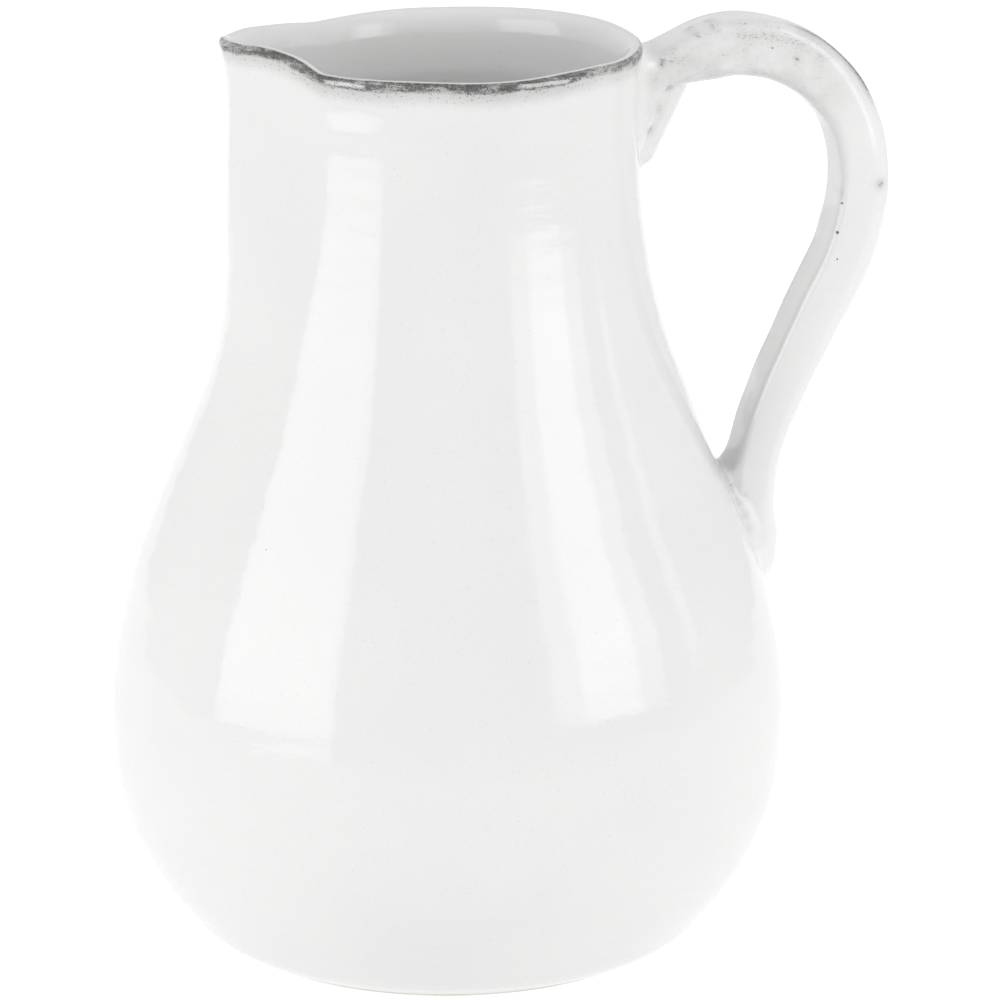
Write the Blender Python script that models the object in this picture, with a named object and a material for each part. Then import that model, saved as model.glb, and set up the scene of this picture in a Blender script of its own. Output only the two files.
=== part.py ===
"""Wheel-thrown stoneware pitcher, put together as a potter does it.

One thrown body carries the floor, belly, neck, rolled lip and pulled spout. A pulled strap handle
is luted on: its upper root sits on a coil of joining clay under the rim, and its lower end is
pressed into a wad of clay smeared down the belly.

Frame: the origin is the centre of the flat foot, +Z is up, +X points to the handle and -X to the
spout. All sizes are in metres.
"""

import math

import bmesh
import bpy
import numpy as np

# Thrown body. The outer profile runs from the foot's edge to the lip as (height, radius).
RIM_HEIGHT = 0.228
FOOT_RADIUS = 0.0540
BELLY_RADIUS = 0.0842
NECK_RADIUS = 0.0470
OUTER_PROFILE = [
    (0.000, FOOT_RADIUS),
    (0.004, 0.0614),
    (0.012, 0.0691),
    (0.028, 0.0789),
    (0.056, BELLY_RADIUS),
    (0.092, 0.0789),
    (0.128, 0.0648),
    (0.160, 0.0528),
    (0.198, NECK_RADIUS + 0.0003),
    (0.214, NECK_RADIUS),
    (RIM_HEIGHT, NECK_RADIUS + 0.0013),
]
WALL = 0.0046
FLOOR = 0.0070
FLOOR_REACH = 0.014
FLOOR_ROUNDING = 9
TURN_STEPS = 64
OUTER_ROWS = 30
FINE_ROWS = 400
INNER_ROWS = 20
FLOOR_ROWS = 5
LIP_ARC_STEPS = 4

# Pulled spout, opposite the handle. Angles are measured from the spout's middle.
SPOUT_PUSH = 0.0070
SPOUT_TIP_PUSH = 0.0012
SPOUT_SPREAD = math.radians(27)
SPOUT_START = 0.136
SPOUT_FULL = 0.206
SPOUT_LIFT = 0.0024
LIFT_SPREAD = math.radians(34)
PINCH_DEPTH = 0.0012
PINCH_ANGLE = math.radians(46)
PINCH_SPREAD = math.radians(13)
LIP_ZONE = 0.010

# Pulled handle, in the plane y = 0: x, z, width along Y, thickness across the strap.
HANDLE_STATIONS = [
    (0.0440, 0.2118, 0.0172, 0.0233),
    (0.0500, 0.2156, 0.0160, 0.0186),
    (0.0560, 0.2195, 0.0152, 0.0138),
    (0.0620, 0.2222, 0.0150, 0.0132),
    (0.0720, 0.2250, 0.0150, 0.0139),
    (0.0890, 0.2203, 0.0152, 0.0144),
    (0.1015, 0.2070, 0.0158, 0.0134),
    (0.1052, 0.1905, 0.0162, 0.0131),
    (0.1022, 0.1733, 0.0170, 0.0131),
    (0.0932, 0.1545, 0.0178, 0.0126),
    (0.0842, 0.1355, 0.0180, 0.0114),
    (0.0790, 0.1215, 0.0178, 0.0112),
    (0.0779, 0.1090, 0.0176, 0.0104),
    (0.0785, 0.1000, 0.0168, 0.0084),
]
HANDLE_RINGS = 44
SECTION_POINTS = 20
SECTION_SQUARENESS = 3.0

# Joining clay: height on the body, how far it stands out from the wall, half of its width.
UPPER_COIL = [
    (0.1905, 0.0003, 0.0030),
    (0.1935, 0.0012, 0.0046),
    (0.1970, 0.0034, 0.0060),
    (0.2010, 0.0066, 0.0067),
    (0.2080, 0.0102, 0.0070),
    (0.2140, 0.0134, 0.0070),
    (0.2175, 0.0152, 0.0068),
]
LOWER_WAD = [
    (0.0800, 0.0002, 0.0025),
    (0.0835, 0.0010, 0.0045),
    (0.0870, 0.0026, 0.0070),
    (0.0910, 0.0048, 0.0092),
    (0.0965, 0.0071, 0.0106),
    (0.1030, 0.0078, 0.0108),
    (0.1110, 0.0066, 0.0100),
    (0.1165, 0.0040, 0.0080),
    (0.1190, 0.0016, 0.0060),
]
CLAY_SECTION_STEPS = 12
CLAY_ROWS = 14
CLAY_BACK = 0.002

# Touching pieces keep this distance.
JOINT_GAP = 0.0003

GLAZE_COLOUR = (0.86, 0.86, 0.85)
GLAZE_ROUGHNESS = 0.15


def curve_through(stations, count):
    """Sample a smooth curve through rows of numbers; its parameter is the first column."""
    table = np.array(stations)
    knots = table[:, 0]
    slopes = np.gradient(table, knots, axis=0, edge_order=2)
    places = np.linspace(knots[0], knots[-1], count)
    return hermite(knots, table, slopes, places)


def hermite(knots, table, slopes, places):
    """Cubic pieces between the knots, read at the given places."""
    left = np.clip(np.searchsorted(knots, places, side="right") - 1, 0, len(knots) - 2)
    span = (knots[left + 1] - knots[left])[:, None]
    t = (places[:, None] - knots[left][:, None]) / span
    start = (1 + 2 * t) * (1 - t) ** 2 * table[left]
    leave = t * (1 - t) ** 2 * span * slopes[left]
    end = t * t * (3 - 2 * t) * table[left + 1]
    arrive = t * t * (t - 1) * span * slopes[left + 1]
    return start + leave + end + arrive


def smooth_step(value, low, high):
    """Rise gently from 0 at low to 1 at high."""
    t = min(1.0, max(0.0, (value - low) / (high - low)))
    return t * t * (3 - 2 * t)


def outer_radius(heights):
    """Radius of the round body's outside at each height."""
    profile = np.array(OUTER_PROFILE)
    slopes = np.gradient(profile, profile[:, 0], axis=0, edge_order=2)
    return hermite(profile[:, 0], profile, slopes, np.atleast_1d(heights))[:, 1]


def outer_wall(rows):
    """Outer profile points (radius, height), evenly spaced from the foot's edge to the lip."""
    heights = np.linspace(0, RIM_HEIGHT - WALL / 2, FINE_ROWS)
    radii = outer_radius(heights)
    along = np.concatenate([[0], np.cumsum(np.hypot(np.diff(heights), np.diff(radii)))])
    even = np.linspace(0, along[-1], rows)
    return list(zip(np.interp(even, along, radii), np.interp(even, along, heights)))


def inner_wall(rows):
    """Inner profile from the lip down to the floor's corner: the outside, set in by the wall."""
    heights = np.linspace(RIM_HEIGHT - WALL / 2, FLOOR_REACH, rows)
    radii = outer_radius(heights)
    slopes = np.gradient(radii, heights)
    lengths = np.hypot(1, slopes)
    return list(zip(radii - WALL / lengths, heights + WALL * slopes / lengths))


def lip_arc(shoulder):
    """Half circle over the top of the wall, from the outer shoulder to the inner one."""
    radius = WALL / 2
    centre = shoulder[0] - radius
    points = []
    for step in range(1, LIP_ARC_STEPS):
        turn = math.pi * step / LIP_ARC_STEPS
        points.append((centre + radius * math.cos(turn), shoulder[1] + radius * math.sin(turn)))
    return points


def floor_curve(corner):
    """Inside floor, from the wall's corner in to the axis, flat in the middle."""
    points = []
    for step in range(1, FLOOR_ROWS + 1):
        part = 1 - step / FLOOR_ROWS
        rise = (corner[1] - FLOOR) * part ** FLOOR_ROUNDING
        points.append((corner[0] * part, FLOOR + rise))
    return points


def spout_weight(height):
    """How far up the neck the spout's pull is felt, from 0 below it to 1 at the rim."""
    return smooth_step(height, SPOUT_START, SPOUT_FULL)


def pull_spout(point):
    """Move one point of the round body the way fingers pull a spout and pinch its sides."""
    radius = math.hypot(point.x, point.y)
    if radius < 1e-6:
        return
    away = abs(math.atan2(point.y, -point.x))
    height = point.z
    lip = smooth_step(height, RIM_HEIGHT - LIP_ZONE, RIM_HEIGHT)
    push = (SPOUT_PUSH + SPOUT_TIP_PUSH * lip) * math.exp(-((away / SPOUT_SPREAD) ** 2))
    pinch = PINCH_DEPTH * math.exp(-(((away - PINCH_ANGLE) / PINCH_SPREAD) ** 2))
    scale = 1 + spout_weight(height) * (push - pinch) / radius
    point.x *= scale
    point.y *= scale
    lift_start = smooth_step(height, SPOUT_FULL - 2 * LIP_ZONE, RIM_HEIGHT)
    point.z += SPOUT_LIFT * lift_start * math.exp(-((away / LIFT_SPREAD) ** 4))


def new_object(name, mesh_data, material=None):
    """Put a finished bmesh into the scene as a smooth-shaded object."""
    mesh = bpy.data.meshes.new(name)
    mesh_data.to_mesh(mesh)
    mesh_data.free()
    piece = bpy.data.objects.new(name, mesh)
    bpy.context.scene.collection.objects.link(piece)
    mesh.shade_smooth()
    mesh.set_sharp_from_angle(angle=math.radians(40))
    if material:
        mesh.materials.append(material)
    return piece


def turn_profile(profile):
    """Turn an outline of (radius, height) points about the Z axis into a closed body."""
    body = bmesh.new()
    points = [body.verts.new((radius, 0, height)) for radius, height in profile]
    for low, high in zip(points, points[1:]):
        body.edges.new((low, high))
    bmesh.ops.spin(
        body,
        geom=body.verts[:] + body.edges[:],
        axis=(0, 0, 1),
        cent=(0, 0, 0),
        angle=2 * math.pi,
        steps=TURN_STEPS,
        use_merge=True,
    )
    bmesh.ops.remove_doubles(body, verts=body.verts, dist=1e-6)
    return body


def close_foot(body):
    """Cover the ring at the foot with one flat face."""
    ring = [edge for edge in body.edges if edge.is_boundary]
    bmesh.ops.contextual_create(body, geom=ring)
    bmesh.ops.recalc_face_normals(body, faces=body.faces)


def thrown_body(material):
    """Floor, belly, neck, lip and spout: one piece of clay."""
    outside = outer_wall(OUTER_ROWS)
    inside = inner_wall(INNER_ROWS)
    profile = outside + lip_arc(outside[-1]) + inside + floor_curve(inside[-1])
    body = turn_profile(profile)
    close_foot(body)
    for vert in body.verts:
        pull_spout(vert.co)
    return new_object("thrown_body", body, material)


def body_cutter():
    """The body's outside, filled and one gap larger, for fitting the joined clay to the wall."""
    profile = [(radius + JOINT_GAP, height) for radius, height in outer_wall(OUTER_ROWS)]
    top = (profile[-1][0], RIM_HEIGHT + LIP_ZONE)
    body = turn_profile(profile + [top, (0, top[1])])
    close_foot(body)
    return as_cutter(new_object("body_cutter", body))


def as_cutter(piece):
    """Mark an object as a tool that is only there to be subtracted."""
    piece.hide_render = True
    piece.display_type = "WIRE"
    return piece


def subtract(piece, cutter):
    """Cut one object back from another with a Boolean modifier."""
    cut = piece.modifiers.new("clear_" + cutter.name, "BOOLEAN")
    cut.operation = "DIFFERENCE"
    cut.object = cutter
    cut.solver = "EXACT"


def handle_stations():
    """Even samples of the strap: centre x, centre z, width, thickness, as rows."""
    table = np.array(HANDLE_STATIONS)
    steps = np.hypot(np.diff(table[:, 0]), np.diff(table[:, 1]))
    along = np.concatenate([[0], np.cumsum(steps)])
    return curve_through(np.column_stack([along, table]), HANDLE_RINGS)[:, 1:]


def strap_section(width, thickness):
    """Rounded cross-section as (across the strap, along Y) offsets from its centre."""
    points = []
    power = 2 / SECTION_SQUARENESS
    for step in range(SECTION_POINTS):
        turn = 2 * math.pi * step / SECTION_POINTS
        across = math.copysign(abs(math.cos(turn)) ** power, math.cos(turn)) * thickness / 2
        sideways = math.copysign(abs(math.sin(turn)) ** power, math.sin(turn)) * width / 2
        points.append((across, sideways))
    return points


def sweep_strap(extra):
    """Closed strap along the handle's line, with its section grown by extra on every side."""
    rows = handle_stations()
    tangents = np.gradient(rows[:, :2], axis=0)
    tangents /= np.linalg.norm(tangents, axis=1)[:, None]
    strap = bmesh.new()
    rings = []
    for (x, z, width, thickness), (along_x, along_z) in zip(rows, tangents):
        ring = []
        for across, sideways in strap_section(width + 2 * extra, thickness + 2 * extra):
            spot = (x - along_z * across, sideways, z + along_x * across)
            ring.append(strap.verts.new(spot))
        rings.append(ring)
    loft(strap, rings)
    return strap


def loft(mesh_data, rings):
    """Skin closed rings of equal length one after another and cap both ends."""
    count = len(rings[0])
    for low, high in zip(rings, rings[1:]):
        for spot in range(count):
            after = (spot + 1) % count
            mesh_data.faces.new((low[spot], low[after], high[after], high[spot]))
    mesh_data.faces.new(rings[0])
    mesh_data.faces.new(rings[-1])
    bmesh.ops.recalc_face_normals(mesh_data, faces=mesh_data.faces)


def pulled_handle(material, wall):
    """The strap handle, cut to fit the wall at both ends."""
    handle = new_object("pulled_handle", sweep_strap(0), material)
    subtract(handle, wall)
    return handle


def joining_clay(name, stations, material, cutters):
    """Clay pressed against the body on the handle's side, cut to fit what it touches."""
    clay = bmesh.new()
    rings = []
    for height, stand_out, half_width in curve_through(stations, CLAY_ROWS):
        wall = outer_radius(height)[0]
        ring = [clay.verts.new((wall - CLAY_BACK, -half_width, height))]
        for step in range(CLAY_SECTION_STEPS + 1):
            turn = math.pi * (step / CLAY_SECTION_STEPS - 0.5)
            out = wall + stand_out * math.cos(turn)
            ring.append(clay.verts.new((out, half_width * math.sin(turn), height)))
        ring.append(clay.verts.new((wall - CLAY_BACK, half_width, height)))
        rings.append(ring)
    loft(clay, rings)
    piece = new_object(name, clay, material)
    for cutter in cutters:
        subtract(piece, cutter)
    return piece


def glaze(name):
    """White gloss glaze over stoneware."""
    material = bpy.data.materials.new(name)
    material.use_nodes = True
    shader = material.node_tree.nodes["Principled BSDF"]
    shader.inputs["Base Color"].default_value = (*GLAZE_COLOUR, 1)
    shader.inputs["Roughness"].default_value = GLAZE_ROUGHNESS
    shader.inputs["Metallic"].default_value = 0
    return material


def clear_scene():
    """Take away whatever the file opened with."""
    for piece in list(bpy.data.objects):
        bpy.data.objects.remove(piece, do_unlink=True)


def build():
    """Make the body, then the pieces that are joined to it."""
    clear_scene()
    thrown_body(glaze("body_glaze"))
    wall = body_cutter()
    pulled_handle(glaze("handle_glaze"), wall)
    strap = as_cutter(new_object("strap_cutter", sweep_strap(JOINT_GAP)))
    joint_glaze = glaze("joint_glaze")
    joining_clay("upper_joint_coil", UPPER_COIL, joint_glaze, [wall, strap])
    joining_clay("lower_joint_wad", LOWER_WAD, joint_glaze, [wall, strap])


build()
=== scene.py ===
"""White-glazed thrown pitcher with a pulled strap handle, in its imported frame.

The body is one thrown wall, shown as its outside, lip, inside and bare foot. The handle, the coil
under its upper root and the wad under its lower end are pressed on and smoothed into the wall.
Frame: the origin is the centre of the flat foot, +Z is up, +X points to the handle. Metres.
"""

import math

import bpy
import numpy as np
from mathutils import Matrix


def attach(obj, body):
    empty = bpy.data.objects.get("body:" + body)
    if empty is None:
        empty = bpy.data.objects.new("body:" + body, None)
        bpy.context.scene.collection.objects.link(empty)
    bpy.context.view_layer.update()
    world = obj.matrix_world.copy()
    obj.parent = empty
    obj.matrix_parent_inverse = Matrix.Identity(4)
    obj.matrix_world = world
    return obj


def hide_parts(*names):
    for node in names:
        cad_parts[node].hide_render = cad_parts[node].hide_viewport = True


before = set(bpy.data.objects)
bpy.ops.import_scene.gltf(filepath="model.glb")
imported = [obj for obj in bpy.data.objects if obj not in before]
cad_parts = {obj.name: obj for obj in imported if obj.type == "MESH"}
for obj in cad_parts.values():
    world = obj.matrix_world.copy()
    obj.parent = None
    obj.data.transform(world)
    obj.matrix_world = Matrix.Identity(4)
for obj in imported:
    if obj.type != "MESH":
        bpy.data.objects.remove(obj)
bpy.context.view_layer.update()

MM = 0.001

# Thrown body: (height, radius) of the outside, from the foot's edge to the lip.
RIM_HEIGHT = 0.228
OUTER_PROFILE = np.array([
    (0.000, 0.0546),
    (0.004, 0.0617),
    (0.012, 0.0692),
    (0.028, 0.0789),
    (0.056, 0.0842),
    (0.092, 0.0789),
    (0.128, 0.0648),
    (0.160, 0.0528),
    (0.198, 0.0473),
    (0.214, 0.0470),
    (0.228, 0.0483),
])
WALL = 4.6 * MM
LIP_FRONT = 1.7 * MM
LIP_FRONT_DROP = 1.9 * MM
LIP_BACK = WALL - LIP_FRONT
LIP_BACK_DROP = 6.0 * MM
FLOOR = 7 * MM
FLOOR_REACH = 14 * MM
COLUMNS = 384
ROW_STEP = 1.02 * MM
LIP_ROWS = 22
INSIDE_ROWS = 172
FLOOR_ROWS = 46
FOOT_ROWS = 46
FULL_TURN = 2 * math.pi

# Glaze stops above the table in a wavy rolled edge.
GLAZE_EDGE = 2.6 * MM
GLAZE_ROLL = 0.22 * MM

# Pulled spout. Angles are measured from its middle.
SPOUT_PUSH = 7.3 * MM
SPOUT_TIP_PUSH = 1.2 * MM
SPOUT_START = 0.132
SPOUT_FULL = 0.200
NECK_RADIUS = 47.5 * MM
FLANK_END = math.radians(31)
TIP_ROUND = 3.0 * MM
FAR_SPREAD = math.radians(29)
TIP_SPREAD = math.radians(9)
SWAY = -0.55 * MM
SWAY_HEIGHT = 0.121
SWAY_SPREAD = 0.018
LIFT_START = 0.186
PINCH_START = 0.152
PINCH_FULL = 0.200
NEAR_PINCH = (0.8 * MM, math.radians(-32), math.radians(10))
FAR_PINCH = (1.6 * MM, math.radians(52), math.radians(14))
PINCHES = (NEAR_PINCH, FAR_PINCH)

# Finger press on the near side of the neck: a hollow over a low swelling.
PRESS_DEPTH = 0.32 * MM
PRESS_TOP = 0.2205
PRESS_FOOT = 0.2145
PRESS_TALL = 0.0030
PRESS_TURN = math.radians(-49)
PRESS_WIDE = math.radians(13)

# Uneven height of the rim: angle from the spout's middle, below 0 on the near side, and rise.
RIM_LIFT = np.array([
    (-175, 0.00),
    (-160, -0.15),
    (-141, -0.25),
    (-129, 0.15),
    (-119, 0.10),
    (-98, -0.65),
    (-68, -0.30),
    (-56, -0.40),
    (-45, -0.50),
    (-36, 0.05),
    (-33, 1.00),
    (-29, 1.95),
    (-25, 2.60),
    (-20, 3.10),
    (-12, 3.30),
    (-7, 2.90),
    (1, 3.00),
    (17, 1.40),
    (25, 1.25),
    (35, 0.50),
    (44, -0.10),
    (54, -1.00),
    (63, -1.15),
    (79, -0.75),
    (87, -0.50),
    (103, -0.30),
    (125, 0.15),
    (144, 0.40),
    (157, 0.40),
    (171, 0.10),
])
LIP_ZONE = 10 * MM

# Strength of the iron band under the lip: angle from the spout's middle, level.
IRON_LEVEL = np.array([
    (-175, 0.85),
    (-150, 0.90),
    (-132, 0.78),
    (-122, 1.02),
    (-98, 1.12),
    (-86, 1.12),
    (-80, 0.98),
    (-62, 0.98),
    (-52, 1.05),
    (-30, 1.08),
    (-15, 1.05),
    (-4, 0.95),
    (10, 0.70),
    (40, 0.75),
    (100, 0.85),
    (160, 0.80),
])

# Painted reflections of the lights in the iron band: middle and half width in degrees from the
# spout's middle.
PAINTED_REFLECTION_PATCHES = [(-47.7, 7.0), (-108.0, 8.8)]

# Strap handle in the plane y = 0: x, z, width along Y, thickness across the strap.
HANDLE_STATIONS = np.array([
    (0.0400, 0.2045, 0.0170, 0.0170),
    (0.0442, 0.2097, 0.0164, 0.0150),
    (0.0509, 0.2184, 0.0156, 0.0110),
    (0.0553, 0.2205, 0.0153, 0.0106),
    (0.0604, 0.2221, 0.0151, 0.0121),
    (0.0660, 0.2237, 0.0150, 0.0138),
    (0.0715, 0.2246, 0.0150, 0.0141),
    (0.0890, 0.2203, 0.0152, 0.0144),
    (0.1015, 0.2070, 0.0158, 0.0134),
    (0.1052, 0.1905, 0.0162, 0.0131),
    (0.1022, 0.1733, 0.0170, 0.0131),
    (0.0932, 0.1545, 0.0178, 0.0126),
    (0.0842, 0.1355, 0.0180, 0.0114),
    (0.07925, 0.1215, 0.0178, 0.0107),
    (0.0776, 0.1090, 0.0176, 0.0104),
    (0.0782, 0.0985, 0.0166, 0.0084),
])
STRAP_SAMPLES = 700
FAR_OUTER_CORNER = 4.5 * MM
ROOT_CORNER = 1.4 * MM
FAR_INNER_CORNER = 3.0 * MM

# Corner radii on the near side: length along the strap, outer corner, inner corner.
NEAR_CORNERS = np.array([
    (0.000, 0.0017, 0.0034),
    (0.050, 0.0019, 0.0034),
    (0.075, 0.0048, 0.0032),
    (0.095, 0.0048, 0.0013),
    (0.120, 0.0044, 0.0012),
    (0.140, 0.0032, 0.0012),
    (0.200, 0.0032, 0.0014),
])
FACE_CROWN = 0.07

# Joining clay. The coil is a cone with round ends; the wad is an egg pressed onto the belly.
COIL_TOP = np.array([0.0550, 0.0, 0.2162])
COIL_TOP_RADIUS = 5.8 * MM
COIL_FOOT = np.array([0.0495, 0.0, 0.1991])
COIL_FOOT_RADIUS = 3.4 * MM
WAD_HEIGHT = 0.0985
WAD_SIZE = (7.4 * MM, 8.6 * MM, 12.5 * MM)
WAD_LEAN = math.atan(0.30)

# How deep the clay goes into the wall, and where the smoothing has faded out.
CLAY_DEPTH = 2.6 * MM
BLEND_DEPTH = 3.4 * MM

# How far two surfaces reach into each other where they are smoothed together. The smear is added
# on the near side of the lower joint.
UPPER_REACH = 5.2 * MM
LOWER_REACH = 3.1 * MM
CROTCH_REACH = 8.6 * MM
NEAR_SMEAR = 2.4 * MM
SMEAR_START = 3 * MM
SMEAR_FULL = 8 * MM
CROTCH_ZONE = (0.110, 0.118)
NECK_ZONE = (0.150, 0.185)
COIL_REACH = 1.0 * MM
WAD_REACH = 5.0 * MM
SINK = 0.015 * MM
MERGE = 0.06 * MM
NET_STEP = 0.62 * MM
NET_LOW = np.array([0.0400, -0.0165, 0.0640])
NET_HIGH = np.array([0.1150, 0.0165, 0.2350])


def smooth(value, low, high):
    """Rise gently from 0 at low to 1 at high."""
    t = np.clip((value - low) / (high - low), 0.0, 1.0)
    return t * t * (3.0 - 2.0 * t)


def bell(value, middle, spread, power=2):
    """1 at the middle, fading to 0 on both sides."""
    return np.exp(-(np.abs((value - middle) / spread) ** power))


def hermite(knots, table, places):
    """Smooth curve through the table's rows, read at the given places."""
    slopes = np.gradient(table, knots, axis=0, edge_order=2)
    left = np.clip(np.searchsorted(knots, places, side="right") - 1, 0, len(knots) - 2)
    span = (knots[left + 1] - knots[left])[..., None]
    t = (places[..., None] - knots[left][..., None]) / span
    start = (1 + 2 * t) * (1 - t) ** 2 * table[left]
    leave = t * (1 - t) ** 2 * span * slopes[left]
    end = t * t * (3 - 2 * t) * table[left + 1]
    arrive = t * t * (t - 1) * span * slopes[left + 1]
    return start + leave + end + arrive


def outer_radius(height):
    """Radius of the round body's outside."""
    return hermite(OUTER_PROFILE[:, 0], OUTER_PROFILE[:, 1:], np.asarray(height, float))[..., 0]


def outer_slope(height):
    """How fast the outside's radius grows with height."""
    step = 0.2 * MM
    low = np.clip(height - step, 0, RIM_HEIGHT)
    high = np.clip(height + step, 0, RIM_HEIGHT)
    return (outer_radius(high) - outer_radius(low)) / (high - low)


SHOULDER = RIM_HEIGHT - LIP_FRONT_DROP
INNER_SHOULDER = RIM_HEIGHT - LIP_BACK_DROP
LIP_LEAN = float(outer_slope(np.array(SHOULDER)))
LIP_EDGE = float(outer_radius(SHOULDER))


def edge_line(height):
    """Radius of the outside near the lip, carried on straight above the shoulder."""
    return LIP_EDGE + LIP_LEAN * (height - SHOULDER)


def outside_relief(height, turn):
    """Throwing rings and unevenness of the outside, as a change of radius."""
    drift = 0.6 * np.sin(2 * turn + 0.7) + 0.4 * np.sin(3 * turn + 2.1 + 20 * height)
    strength = 0.65 + 0.35 * np.sin(height * 61 + turn)
    rings = 0.060 * MM * strength * np.sin(FULL_TURN * height / 0.0172 + turn + 0.8 * drift)
    rings += 0.020 * MM * np.sin(FULL_TURN * height / 0.0069 - turn + 2.0 * drift)
    rings += 0.006 * MM * np.sin(FULL_TURN * height / 0.0027 + turn + 4.0 * drift)
    sway = 0.10 * MM * np.sin(2 * turn + 9 * height + 0.4) * smooth(height, 0.0, 0.03)
    calm = smooth(height, 0.002, 0.010) * (1 - 0.6 * smooth(height, 0.214, 0.226))
    return calm * rings + sway


def glaze_edge(height, turn):
    """The glaze's rolled edge above the bare foot, as a change of radius."""
    line = GLAZE_EDGE + 0.35 * MM * np.sin(3 * turn + 1.0) + 0.2 * MM * np.sin(11 * turn)
    roll = GLAZE_ROLL * smooth(height, line, line + 0.8 * MM)
    return roll * (1 - 0.75 * smooth(height, line + 1.2 * MM, line + 7 * MM))


def inside_relief(height, turn):
    """Finger rings left on the inside."""
    drift = np.sin(2 * turn + 1.9) + 0.5 * np.sin(5 * turn + 30 * height)
    rings = 0.16 * MM * np.sin(FULL_TURN * height / 0.0125 - turn + 0.6 * drift)
    rings += 0.05 * MM * np.sin(FULL_TURN * height / 0.0051 + turn + drift)
    return rings * (1 - smooth(height, 0.206, 0.224))


def rim_lift(side):
    """Rise of the rim at an angle from the spout's middle."""
    turns = np.radians(RIM_LIFT[:, 0])
    turns = np.concatenate([turns - FULL_TURN, turns, turns + FULL_TURN])
    lifts = np.tile(RIM_LIFT[:, 1:] * MM, (3, 1))
    return hermite(turns, lifts, np.asarray(side, float))[..., 0]


def spout_push(side, tip):
    """How far the spout stands out: a straight flank on the near side, a soft one beyond."""
    turn = np.maximum(FLANK_END + np.minimum(side, 0), 0)
    flank = NECK_RADIUS * (1 / np.cos(turn) - 1)
    share = np.maximum(TIP_ROUND - np.abs(flank - tip), 0)
    near = np.minimum(flank, tip) - share**2 / (4 * TIP_ROUND)
    far = tip - (tip - near) * bell(side, 0, TIP_SPREAD)
    return np.where(side < 0, near, far * bell(side, 0, FAR_SPREAD))


def belly_sway(height):
    """Sideways lean of the wall where the neck meets the belly."""
    return SWAY * bell(height, SWAY_HEIGHT, SWAY_SPREAD)


def pull_spout(points):
    """Move points of the round body the way fingers pull a spout and pinch its sides."""
    x, y, z = points[..., 0], points[..., 1], points[..., 2]
    radius = np.maximum(np.hypot(x, y), 1e-6)
    side = np.arctan2(y, -x)
    lip = smooth(z, RIM_HEIGHT - LIP_ZONE, RIM_HEIGHT)
    push = spout_push(side, SPOUT_PUSH + SPOUT_TIP_PUSH * lip)
    pinch = sum(depth * bell(side, middle, width) for depth, middle, width in PINCHES)
    move = smooth(z, SPOUT_START, SPOUT_FULL) * push - smooth(z, PINCH_START, PINCH_FULL) * pinch
    press = bell(z, PRESS_FOOT, PRESS_TALL) - bell(z, PRESS_TOP, PRESS_TALL)
    move = move + PRESS_DEPTH * press * bell(side, PRESS_TURN, PRESS_WIDE)
    scale = 1 + move / radius
    rise = smooth(z, LIFT_START, RIM_HEIGHT) * rim_lift(side)
    return np.stack([x * scale + belly_sway(z), y * scale, z + rise], axis=-1)


def even_heights():
    """Heights of the outside's rows: close together at the foot and near the lip."""
    fine = np.linspace(0, SHOULDER, 3000)
    pace = np.hypot(1, outer_slope(fine))
    near_foot = 1 - smooth(fine, 0.006, 0.012)
    near_lip = smooth(fine, SHOULDER - 0.014, SHOULDER - 0.008)
    density = pace * (1 + 1.3 * near_foot + 0.8 * near_lip)
    total = np.concatenate([[0], np.cumsum((density[1:] + density[:-1]) / 2 * np.diff(fine))])
    rows = int(total[-1] / ROW_STEP)
    return np.interp(np.linspace(0, total[-1], rows), total, fine)


def outside_rows(heights, turn):
    """Radius and height grids of the outside."""
    tall = heights[:, None] + 0 * turn
    radius = outer_radius(heights)[:, None] + outside_relief(tall, turn) + glaze_edge(tall, turn)
    return radius, tall


def lip_rows(outer_edge, inner_edge, count):
    """Grids over the lip: a quick turn on the outside, a long soft one on the inside."""
    quarter = math.pi / 2
    rise = np.linspace(0, quarter, count // 2)[1:]
    fall = np.linspace(quarter, 0, count)[1:-1]
    out = np.concatenate([LIP_FRONT * np.cos(rise), -LIP_BACK * np.cos(fall)]) - LIP_FRONT
    front = SHOULDER + LIP_FRONT_DROP * np.sin(rise)
    back = INNER_SHOULDER + LIP_BACK_DROP * np.sin(fall)
    height = np.concatenate([front, back])
    radius = edge_line(height) + out
    share = -out / WALL
    outer_extra = outer_edge - LIP_EDGE
    inner_extra = inner_edge - (edge_line(INNER_SHOULDER) - WALL)
    extra = outer_extra * (1 - share[:, None]) + inner_extra * share[:, None]
    return radius[:, None] + extra, height[:, None] + 0 * extra


def inside_rows(turn):
    """Radius and height grids of the inside wall, from the lip down to the floor's corner."""
    heights = np.linspace(INNER_SHOULDER, FLOOR_REACH, INSIDE_ROWS)
    slope = outer_slope(heights)
    long = np.hypot(1, slope)
    straight = smooth(heights, INNER_SHOULDER - 16 * MM, INNER_SHOULDER)
    base = outer_radius(heights) - WALL / (long * (1 - straight) + straight)
    tall = (heights + (1 - straight) * WALL * slope / long)[:, None] + 0 * turn
    return base[:, None] + inside_relief(tall, turn), tall


def floor_rows(radius, height, count):
    """Grids of the inside floor, from the wall's corner in to the axis."""
    share = np.linspace(1, 0.004, count + 1)[1:, None]
    bowl = FLOOR + (height - FLOOR) * share**9
    swirl = 0.22 * MM * np.sin(FULL_TURN * radius * share / 0.0085) * smooth(share, 0.02, 0.2)
    return radius * share, bowl + swirl * (1 - smooth(share, 0.86, 0.97))


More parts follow.
